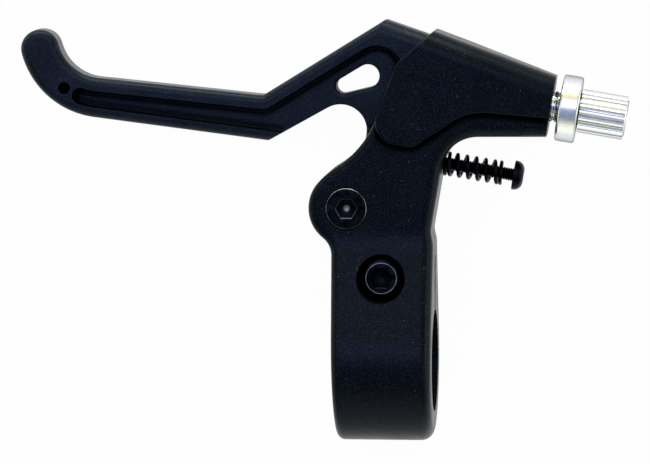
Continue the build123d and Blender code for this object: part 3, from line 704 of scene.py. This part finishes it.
slots = []
for crosswise in (False, True):
    slot = []
    for z, (a, b) in ((-RECESS_DEPTH, RECESS_FLOOR), (PUNCH_PAST, RECESS_MOUTH)):
        corners = [(-a, -b), (a, -b), (a, b), (-a, b)]
        slot.append((head_top + z, [(y, -x) for x, y in corners] if crosswise else corners))
    slots.append(slot)
head_mesh = press_recess(domed_head, stacked_punch("cross_punch", slots))

# %% [markdown]
# ## Threads
# A screw thread is a ridge that climbs round a cylinder by one pitch a turn. The usual trick, an
# array of short helix pieces, leaves seams. A grid wrapped round an axis by a rule has none: each
# point's angle comes from its column and its height from its row.

# %% Thread tree: columns and rows
THREAD_SIZES = {
    "Crest radius": "NodeSocketFloat",
    "Depth": "NodeSocketFloat",
    "Pitch": "NodeSocketFloat",
    "Start": "NodeSocketFloat",
    "Length": "NodeSocketFloat",
    "Fade": "NodeSocketFloat",
    "Columns": "NodeSocketInt",
    "Rows": "NodeSocketInt",
    "Finish": "NodeSocketMaterial",
}
tree, size = new_tree("cut_thread", THREAD_SIZES)
grid = add_node(tree, "GeometryNodeMeshGrid", {
    "Size X": 1.0, "Size Y": 1.0, "Vertices X": size["Columns"], "Vertices Y": size["Rows"]})
position = add_node(tree, "GeometryNodeInputPosition")
flat = add_node(tree, "ShaderNodeSeparateXYZ", {"Vector": position}).outputs
turns = add_node(tree, "ShaderNodeMath", {0: flat["X"], 1: 0.5}, operation="ADD")
angle = add_node(tree, "ShaderNodeMath", {0: turns, 1: 2 * pi}, operation="MULTIPLY")
row_share = add_node(tree, "ShaderNodeMath", {0: flat["Y"], 1: 0.5}, operation="ADD")
end_row = add_node(tree, "ShaderNodeMath", {0: size["Rows"], 1: 1.0}, operation="SUBTRACT")
row = add_node(tree, "ShaderNodeMath", {0: row_share, 1: end_row}, operation="MULTIPLY")
last_row = add_node(tree, "ShaderNodeMath", {0: size["Rows"], 1: 2.0}, operation="SUBTRACT")
height = add_node(tree, "ShaderNodeMapRange", {
    "Value": row, "From Min": 1.0, "From Max": last_row, "To Max": size["Length"]})
print("columns and rows take", len(tree.nodes), "nodes")

# %% [markdown]
# Its radius comes from a zigzag of height less angle, which fades out towards both ends, as a cut
# thread runs out.

# %% Thread tree: the groove
climb = add_node(tree, "ShaderNodeMath", {0: height, 1: size["Pitch"]}, operation="DIVIDE")
phase = add_node(tree, "ShaderNodeMath", {0: climb, 1: turns}, operation="SUBTRACT")
zigzag = add_node(tree, "ShaderNodeMath", {0: phase, 1: 0.5}, operation="PINGPONG")
to_end = add_node(tree, "ShaderNodeMath", {0: size["Length"], 1: height}, operation="SUBTRACT")
from_end = add_node(tree, "ShaderNodeMath", {0: height, 1: to_end}, operation="MINIMUM")
fade = add_node(tree, "ShaderNodeMapRange", {"Value": from_end, "From Max": size["Fade"], "To Max": 2.0})
groove = add_node(tree, "ShaderNodeMath", {0: zigzag, 1: fade}, operation="MULTIPLY")
sunk = add_node(tree, "ShaderNodeMath", {0: groove, 1: size["Depth"]}, operation="MULTIPLY")
radius = add_node(tree, "ShaderNodeMath", {0: size["Crest radius"], 1: sunk}, operation="SUBTRACT")
print("with the groove", len(tree.nodes), "nodes")

# %% [markdown]
# The first and last rows shrink to the axis and close the ends. Points that then meet are welded, and
# the head that the tree was given is joined on.

# %% Thread tree: closed ends
WELD = 0.002 * MM

above = add_node(tree, "ShaderNodeMath", {0: row, 1: 0.5}, operation="GREATER_THAN")
past_last = add_node(tree, "ShaderNodeMath", {0: last_row, 1: 0.5}, operation="ADD")
below = add_node(tree, "ShaderNodeMath", {0: row, 1: past_last}, operation="LESS_THAN")
inside = add_node(tree, "ShaderNodeMath", {0: above, 1: below}, operation="MULTIPLY")
capped = add_node(tree, "ShaderNodeMath", {0: radius, 1: inside}, operation="MULTIPLY")
lifted = add_node(tree, "ShaderNodeMath", {0: height, 1: size["Start"]}, operation="ADD")
spot = round_axis(tree, angle, capped, lifted)
rolled = add_node(tree, "GeometryNodeSetPosition", {"Geometry": grid, "Position": spot})
closed = add_node(tree, "GeometryNodeMergeByDistance", {"Geometry": rolled, "Distance": WELD})
joined = add_node(tree, "GeometryNodeJoinGeometry", {"Geometry": closed})
tree.links.new(size["Geometry"], joined.inputs["Geometry"])
end_tree(tree, joined, size["Finish"])
thread_tree = tree

# %% [markdown]
# The reach screw's thread has the 0.5 mm pitch of an M3 screw. Six rows of points to a pitch are
# enough to show its ridges, and three more rows make the ends.

# %% Thread the reach screw
REACH_TIP = 14.05
REACH_CREST = 1.45
REACH_PITCH = 0.5
REACH_COLUMNS = 24
REACH_OVERLAP = 0.2
ROWS_IN_PITCH = 6
END_ROWS = 3

reach_length = REACH_SEAT - REACH_TIP + REACH_OVERLAP
reach_screw = bake("pan_head_reach_screw", thread_tree, {
    "Crest radius": REACH_CREST * MM,
    "Depth": 0.24 * MM,
    "Pitch": REACH_PITCH * MM,
    "Start": REACH_TIP * MM,
    "Length": reach_length * MM,
    "Fade": 0.4 * MM,
    "Columns": REACH_COLUMNS + 1,
    "Rows": round(reach_length / REACH_PITCH * ROWS_IN_PITCH) + END_ROWS,
    "Finish": black_steel,
}, start=head_mesh, turn=lay_on_arm(REACH_OUT))
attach(reach_screw, "reach_screw")
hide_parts("reach_screw")

# %% [markdown]
# ## The two hex-socket bolts
# The lever turns on a low-head bolt whose rim stands just proud of the cheek, and a cap bolt deep in
# its counterbore closes the clamp. Both are turned with a rounded rim, which catches a thin bright
# ring of light that a painted highlight adds to, and both get a hex socket with a small lead-in at
# its mouth and a drilled cone at its bottom. The thread tree gives them an M5 thread of 0.8 mm
# pitch, which shows at the tips under the nuts.

# %% Turn, press and thread the bolts
BOLT_CREST = 2.5
BOLT_PITCH = 0.8
BOLT_COLUMNS = 36
BOLT_OVERLAP = 0.1
BOLT_SEGMENTS = 72
CONE_DEPTH = 0.7
CONE_TIP = 0.3
LEAD_IN = 0.25
MOUTH_PAST = 0.1
MOUTH_WIDER = 0.7


def hexagon(width):
    """Corners in mm of a hexagon of a width across its flats."""
    return [(width / 3 ** 0.5 * cos(pi * i / 3), width / 3 ** 0.5 * sin(pi * i / 3)) for i in range(6)]


def socket_bolt(name, at, seat, tip, head, socket, finish):
    """A bolt from its axis in mm, the heights of its seat and tip, its head's radius, height and rim
    round, and its socket's width and depth."""
    radius, height, rim = head
    width, depth = socket
    top = seat + height
    hexes = [
        (top - depth - CONE_DEPTH, hexagon(CONE_TIP)),
        (top - depth, hexagon(width)),
        (top - LEAD_IN, hexagon(width)),
        (top + MOUTH_PAST, hexagon(width + MOUTH_WIDER)),
    ]
    blank = turn_profile(name, head_line(radius, seat, top, rim, steps=12), BOLT_SEGMENTS)
    length = seat + BOLT_OVERLAP - tip
    return bake(name, thread_tree, {
        "Crest radius": BOLT_CREST * MM,
        "Depth": 0.4 * MM,
        "Pitch": BOLT_PITCH * MM,
        "Start": tip * MM,
        "Length": length * MM,
        "Fade": 0.5 * MM,
        "Columns": BOLT_COLUMNS + 1,
        "Rows": round(length / BOLT_PITCH * ROWS_IN_PITCH) + END_ROWS,
        "Finish": finish,
    }, start=press_recess(blank, stacked_punch("hex_punch", [hexes])),
        turn=Matrix.Translation((at[0] * MM, at[1] * MM, 0.0)))


pivot_bolt = socket_bolt(
    "low_head_pivot_bolt", PIVOT_AT, seat=6.7, tip=-10.5, head=(4.5, 2.4, 0.5), socket=(4.0, 1.3),
    finish=pivot_head_steel)
clamp_bolt = socket_bolt(
    "cap_head_clamp_bolt", CLAMP_BOLT_AT, seat=4.6, tip=-9.8, head=(4.25, 5.0, 0.9), socket=(4.0, 2.3),
    finish=clamp_head_steel)
for bolt, node in ((pivot_bolt, "pivot_bolt"), (clamp_bolt, "clamp_bolt")):
    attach(bolt, "bracket")
    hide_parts(node)

# %% [markdown]
# ## The barrel adjuster
# The barrel is turned from aluminium bar: a plain core with rounded ends, a stepped hole for the
# cable's housing, and a shank with a 1 mm thread that is drilled through for the cable's wire. The
# core's line goes up the outside and back down the inside. A short neck below it reaches into the
# shank, so that the two overlap.

# %% Turn the barrel's core
BARREL_START = 45.8
BARREL_LENGTH = 10.3
BARREL_RADIUS = 4.75
BARREL_ROUND = 0.75
# Points of the rounded foot, in from the core's radius and up from its start
BARREL_FOOT = [(0.6, 0.0), (0.2, 0.15), (0.0, 0.5)]
RIB_HEIGHT = 0.45
NECK_RADIUS = 2.7
NECK_LENGTH = 1.0
CABLE_HOLE = 1.2
SOCKET_RADIUS = 2.6
SOCKET_DEPTH = 7.0
SOCKET_BEVEL = 0.3
CORE_SEGMENTS = 110

barrel_end = BARREL_START + BARREL_LENGTH
core_radius = BARREL_RADIUS - RIB_HEIGHT
core_line = [
    (CABLE_HOLE, BARREL_START - NECK_LENGTH),
    (NECK_RADIUS, BARREL_START - NECK_LENGTH),
    (NECK_RADIUS, BARREL_START),
    *[(core_radius - inwards, BARREL_START + up) for inwards, up in BARREL_FOOT],
    *rounded_rim(core_radius, barrel_end, BARREL_ROUND, steps=8),
    (SOCKET_RADIUS + SOCKET_BEVEL, barrel_end),
    (SOCKET_RADIUS, barrel_end - SOCKET_BEVEL),
    (SOCKET_RADIUS, barrel_end - SOCKET_DEPTH),
    (CABLE_HOLE, barrel_end - SOCKET_DEPTH),
]
core = turn_profile("barrel_core", core_line, CORE_SEGMENTS)
print("barrel_core has", len(core.polygons), "faces")

# %% [markdown]
# The shank comes out of the thread tree solid, and a drill takes the wire's way out of it. The drill
# is a hair wider than the core's hole and is turned by half a facet, because faces and edges that
# lie exactly on one another leave slivers in a Boolean. Core and shank then become one mesh.

# %% Thread and drill the shank
SHANK_START = 28.75
SHANK_CREST = 3.45
SHANK_PITCH = 1.0
SHANK_COLUMNS = 48
SHANK_ROWS = 17 * 8
SHANK_OVERLAP = 0.1
DRILL_PLAY = 0.02
DRILL_PAST = 0.5

shank = bake("threaded_shank", thread_tree, {
    "Crest radius": SHANK_CREST * MM,
    "Depth": 0.5 * MM,
    "Pitch": SHANK_PITCH * MM,
    "Start": SHANK_START * MM,
    "Length": (BARREL_START + SHANK_OVERLAP - SHANK_START) * MM,
    "Fade": 0.6 * MM,
    "Columns": SHANK_COLUMNS + 1,
    "Rows": SHANK_ROWS + END_ROWS,
    "Finish": turned_aluminium,
})
shank_mesh = shank.data
bpy.data.objects.remove(shank)
drill_radius = CABLE_HOLE + DRILL_PLAY
drill_low = SHANK_START - DRILL_PAST
drill_high = BARREL_START + DRILL_PAST
drill_line = [(0, drill_low), (drill_radius, drill_low), (drill_radius, drill_high), (0, drill_high)]
drill = turn_profile("cable_drill", drill_line, SHANK_COLUMNS)
drill.transform(Matrix.Rotation(pi / SHANK_COLUMNS, 4, "Z"))
drilled = press_recess(shank_mesh, drill)
both = bmesh.new()
both.from_mesh(core)
both.from_mesh(drilled)
both.to_mesh(core)
both.free()
print("core and shank have", len(core.polygons), "faces")

# %% [markdown]
# Round the core run 22 straight ribs, pressed in by a knurling wheel so that fingers can turn it.
# One rib is swept from a small rounded section along a line, and tapers at both ends.

# %% Rib tree: one rib
RIB_SIZES = {
    "Ribs": "NodeSocketInt",
    "Root radius": "NodeSocketFloat",
    "Rib height": "NodeSocketFloat",
    "Rib width": "NodeSocketFloat",
    "Start": "NodeSocketFloat",
    "End": "NodeSocketFloat",
    "Finish": "NodeSocketMaterial",
}
tree, size = new_tree("knurled_ribs", RIB_SIZES)
foot = add_node(tree, "ShaderNodeCombineXYZ", {"Z": size["Start"]})
tip = add_node(tree, "ShaderNodeCombineXYZ", {"Z": size["End"]})
line = add_node(tree, "GeometryNodeCurvePrimitiveLine", {"Start": foot, "End": tip})
stations = add_node(tree, "GeometryNodeResampleCurve", {"Curve": line, "Count": 26})
share = add_node(tree, "GeometryNodeSplineParameter").outputs["Factor"]
rest = add_node(tree, "ShaderNodeMath", {0: 1.0, 1: share}, operation="SUBTRACT")
to_end = add_node(tree, "ShaderNodeMath", {0: share, 1: rest}, operation="MINIMUM")
swell = add_node(tree, "ShaderNodeMapRange", {"Value": to_end, "From Max": 0.08, "To Min": 0.15})
tapered = add_node(tree, "GeometryNodeSetCurveRadius", {"Curve": stations, "Radius": swell})
section = add_node(tree, "GeometryNodeCurvePrimitiveCircle", {"Resolution": 8, "Radius": 0.5})
width = add_node(tree, "ShaderNodeCombineXYZ", {"X": size["Rib width"], "Y": size["Rib width"], "Z": 1.0})
shaped = add_node(tree, "GeometryNodeTransform", {"Geometry": section, "Scale": width})
rib = add_node(tree, "GeometryNodeCurveToMesh", {
    "Curve": tapered, "Profile Curve": shaped, "Fill Caps": True})
doubled = add_node(tree, "ShaderNodeMath", {0: size["Rib height"], 1: 2.0}, operation="MULTIPLY")
steepness = add_node(tree, "ShaderNodeMath", {0: doubled, 1: size["Rib width"]}, operation="DIVIDE")
deeper = add_node(tree, "ShaderNodeCombineXYZ", {"X": steepness, "Y": 1.0, "Z": 1.0})
deepened = add_node(tree, "GeometryNodeTransform", {"Geometry": rib, "Scale": deeper})
print("one rib takes", len(tree.nodes), "nodes")

# %% [markdown]
# An instance of the rib stands at each point of a circle, turned to face outwards.

# %% Rib tree: all round
posts = add_node(tree, "GeometryNodeMeshCircle", {"Vertices": size["Ribs"], "Radius": size["Root radius"]})
position = add_node(tree, "GeometryNodeInputPosition")
outwards = add_node(tree, "FunctionNodeAlignRotationToVector", {
    "Vector": position}, axis="X", pivot_axis="Z")
ribs = add_node(tree, "GeometryNodeInstanceOnPoints", {
    "Points": posts, "Instance": deepened, "Rotation": outwards})
joined = add_node(tree, "GeometryNodeJoinGeometry", {"Geometry": ribs})
tree.links.new(size["Geometry"], joined.inputs["Geometry"])
end_tree(tree, joined, size["Finish"])
rib_tree = tree

# %% [markdown]
# The ribs stop a little short of the core's two ends and leave a narrow gap between them.

# %% Press the barrel's ribs
RIB_COUNT = 22
RIB_FILL = 0.92
RIB_FOOT_GAP = 0.15
RIB_END_GAP = 0.3

barrel = bake("knurled_barrel", rib_tree, {
    "Ribs": RIB_COUNT,
    "Root radius": core_radius * MM,
    "Rib height": RIB_HEIGHT * MM,
    "Rib width": 2 * pi * core_radius / RIB_COUNT * RIB_FILL * MM,
    "Start": (BARREL_START + RIB_FOOT_GAP) * MM,
    "End": (barrel_end - RIB_END_GAP) * MM,
    "Finish": turned_aluminium,
}, start=core, turn=lay_on_arm(CABLE_OUT))
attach(barrel, "barrel_adjuster")
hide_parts("barrel_adjuster")

# %% [markdown]
# ## The lock nut
# The lock nut is a plain bright ring with rounded rims. It is turned again here with fine rings,
# because its round face is the brightest thing in the picture and any facet would show.

# %% Turn the lock nut
NUT_START = 41.4
NUT_WIDTH = 4.3
NUT_RADIUS = 7.25
NUT_ROUND = 0.6
NUT_BORE = 3.5
BORE_BEVEL = 0.4
NUT_SEGMENTS = 128

nut_end = NUT_START + NUT_WIDTH
upper_rim = rounded_rim(NUT_RADIUS, nut_end, NUT_ROUND, steps=6)
lower_rim = [(radius, NUT_START + nut_end - height) for radius, height in reversed(upper_rim)]
nut_profile = [
    (NUT_BORE + BORE_BEVEL, NUT_START),
    *lower_rim,
    *upper_rim,
    (NUT_BORE + BORE_BEVEL, nut_end),
    (NUT_BORE, nut_end - BORE_BEVEL),
    (NUT_BORE, NUT_START + BORE_BEVEL),
]
nut = bpy.data.objects.new("turned_lock_nut", turn_profile("turned_lock_nut", nut_profile, NUT_SEGMENTS))
scene.collection.objects.link(nut)
nut.data.transform(lay_on_arm(CABLE_OUT))
nut.data.shade_smooth()
nut.data.set_sharp_from_angle(angle=SHARP)
nut.data.materials.append(turned_aluminium)
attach(nut, "lock_nut")
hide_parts("lock_nut")
print("turned_lock_nut has", len(nut.data.polygons), "faces")

# %% [markdown]
# ## The floor
# The part lies on a white sheet, as for a catalogue picture. The floor glows white for the rays
# that the camera, mirrors and glass send out, and is plain white paper for all other rays, so it
# still takes the part's shadow and throws a natural amount of light back.

# %% White floor
FLOOR_SIZE = 30.0
FLOOR_GAP = 0.1 * MM
GLOW = 0.97

floor_mesh = bpy.data.meshes.new("white_floor")
half = FLOOR_SIZE / 2
low = cad_box[0].z - FLOOR_GAP
corners = [(-half, -half, low), (half, -half, low), (half, half, low), (-half, half, low)]
floor_mesh.from_pydata(corners, [], [(0, 1, 2, 3)])
floor = bpy.data.objects.new("white_floor", floor_mesh)
scene.collection.objects.link(floor)
paper = bpy.data.materials.new("white_paper")
paper.use_nodes = True
tree = paper.node_tree
tree.nodes.clear()
ray = add_node(tree, "ShaderNodeLightPath").outputs
camera_or_mirror = add_node(tree, "ShaderNodeMath", {
    0: ray["Is Camera Ray"], 1: ray["Is Glossy Ray"]}, operation="MAXIMUM")
seen = add_node(tree, "ShaderNodeMath", {
    0: camera_or_mirror, 1: ray["Is Transmission Ray"]}, operation="MAXIMUM")
glow_share = add_node(tree, "ShaderNodeMath", {0: seen, 1: GLOW}, operation="MULTIPLY")
matt = add_node(tree, "ShaderNodeBsdfDiffuse", {"Color": linear("#f7f7f7")})
white = add_node(tree, "ShaderNodeEmission", {"Color": (1.0, 1.0, 1.0, 1.0), "Strength": 1.0})
sheet = add_node(tree, "ShaderNodeMixShader", {"Fac": glow_share, 1: matt, 2: white})
add_node(tree, "ShaderNodeOutputMaterial", {"Surface": sheet})
floor_mesh.materials.append(paper)
print("floor at", round(low * 1000, 2), "mm")

# %% [markdown]
# ## The room
# Shiny pieces are lit by what they mirror, so the room is a tunnel of soft cards along the bar: a
# bright white card low behind the lever, a yellowish gap above it, a bluish card near the top, and
# a dim bluish side towards the bar that turns pale at the floor. A direction's place in the tunnel
# is its angle about the bar, and a colour ramp over that angle holds the cards, each as a part of the
# brightest light. A second ramp holds the tunnel's end walls.

# %% A tunnel of soft cards
# Each card: its place in half turns about the bar, from behind the lever over the top, and its light
CARDS = [
    (0.00, (4.0, 4.3, 3.6)),
    (0.07, (4.6, 5.0, 3.8)),
    (0.14, (3.0, 3.5, 2.2)),
    (0.20, (1.2, 1.05, 0.5)),
    (0.26, (1.0, 0.85, 0.5)),
    (0.31, (1.1, 1.2, 1.2)),
    (0.36, (1.5, 1.6, 2.2)),
    (0.40, (2.2, 2.3, 3.6)),
    (0.44, (1.8, 1.9, 2.9)),
    (0.475, (0.6, 0.62, 0.75)),
    (0.52, (0.35, 0.37, 0.42)),
    (0.58, (0.28, 0.34, 0.48)),
    (0.66, (0.24, 0.3, 0.42)),
    (0.71, (0.4, 0.43, 0.42)),
    (0.80, (1.0, 1.0, 0.85)),
    (0.92, (1.3, 1.4, 1.1)),
    (1.00, (1.1, 1.2, 1.0)),
]
# The end walls: how far a direction leans along the bar, and the light there
ENDS = [
    (0.00, (0.25, 0.3, 0.2)),
    (0.80, (0.4, 0.45, 0.3)),
    (0.97, (1.5, 1.7, 1.4)),
]
BRIGHTEST = 5.0


def in_parts(lights):
    """Stops of a ramp, with each light as a part of the brightest one."""
    return [(spot, [v / BRIGHTEST for v in light] + [1.0]) for spot, light in lights]


world = bpy.data.worlds.new("studio")
scene.world = world
world.use_nodes = True
tree = world.node_tree
tree.nodes.clear()
heading = add_node(tree, "ShaderNodeTexCoord").outputs["Generated"]
way = add_node(tree, "ShaderNodeSeparateXYZ", {"Vector": heading}).outputs
swing = add_node(tree, "ShaderNodeMath", {0: way["Z"], 1: way["Y"]}, operation="ARCTAN2")
half_turns = add_node(tree, "ShaderNodeMath", {0: swing, 1: pi}, operation="DIVIDE")
cards = add_node(tree, "ShaderNodeValToRGB", {"Fac": half_turns})
set_stops(cards, in_parts(CARDS))
endways = add_node(tree, "ShaderNodeMath", {0: way["X"]}, operation="ABSOLUTE")
ends = add_node(tree, "ShaderNodeValToRGB", {"Fac": endways})
set_stops(ends, in_parts(ENDS))
at_end = add_node(tree, "ShaderNodeMapRange", {
    "Value": endways, "From Min": 0.25, "From Max": 0.65}, interpolation_type="SMOOTHSTEP")
room = add_node(tree, "ShaderNodeMix", {"Factor": at_end, 6: cards, 7: ends}, data_type="RGBA")
light = add_node(tree, "ShaderNodeBackground", {"Color": room, "Strength": BRIGHTEST})
add_node(tree, "ShaderNodeOutputWorld", {"Surface": light})
print("cards:", len(CARDS), "end walls:", len(ENDS))


# %% [markdown]
# ## The lamps
# The cards are wide and soft, so two long low lamps draw the light lines on the edges behind the
# lever and at the cable's end.

# %% Lamps
def soft_lamp(name, at, towards, width, depth, watts):
    """A rectangular soft lamp that faces a point, with sizes in metres."""
    lamp = bpy.data.lights.new(name, "AREA")
    lamp.shape = "RECTANGLE"
    lamp.size = width
    lamp.size_y = depth
    lamp.energy = watts
    holder = bpy.data.objects.new(name, lamp)
    holder.location = at
    holder.rotation_euler = (Vector(towards) - Vector(at)).to_track_quat("-Z", "Y").to_euler()
    scene.collection.objects.link(holder)
    print(name, watts, "W")


MIDDLE = (-0.013, 0.028, 0.0)
soft_lamp("lamp_behind_lever", (-0.30, 0.85, 0.07), MIDDLE, 1.8, 0.06, 3.5)
soft_lamp("lamp_at_cable_end", (0.85, 0.10, 0.09), MIDDLE, 0.6, 0.06, 0.7)

# %% [markdown]
# ## The camera
# The photograph looks almost straight down, and leans about 4.8 degrees towards the cable's end and
# towards the lever. It shows 4.6 pixels to a millimetre, and the lens follows from that scale, the
# camera's distance and the picture's width. The camera's axes are written as a matrix, so that the
# bar lies level in the picture.

# %% Camera at the photograph's angle
PHOTO_WIDTH, PHOTO_HEIGHT = 650, 464
PIXELS_PER_MM = 4.6
CAMERA_DISTANCE = 1.2
TILT = radians(4.8)
AIM = Vector((-13.3, 27.8, 0.0)) * MM

camera_data = bpy.data.cameras.new("photo_camera")
camera_data.sensor_width = 36.0
camera_data.lens = PIXELS_PER_MM / MM * CAMERA_DISTANCE * camera_data.sensor_width / PHOTO_WIDTH
camera_data.clip_start = 0.01
camera_data.clip_end = 100.0
camera = bpy.data.objects.new("photo_camera", camera_data)
back = Vector((sin(TILT), sin(TILT), cos(TILT))).normalized()
right = Vector((0.0, 1.0, 0.0)).cross(back).normalized()
camera.matrix_world = Matrix.Translation(AIM + back * CAMERA_DISTANCE) @ Matrix(
    (right, back.cross(right), back)).transposed().to_4x4()
scene.collection.objects.link(camera)
scene.camera = camera
print("lens", round(camera_data.lens, 1), "mm for", PHOTO_WIDTH, "x", PHOTO_HEIGHT, "pixels")
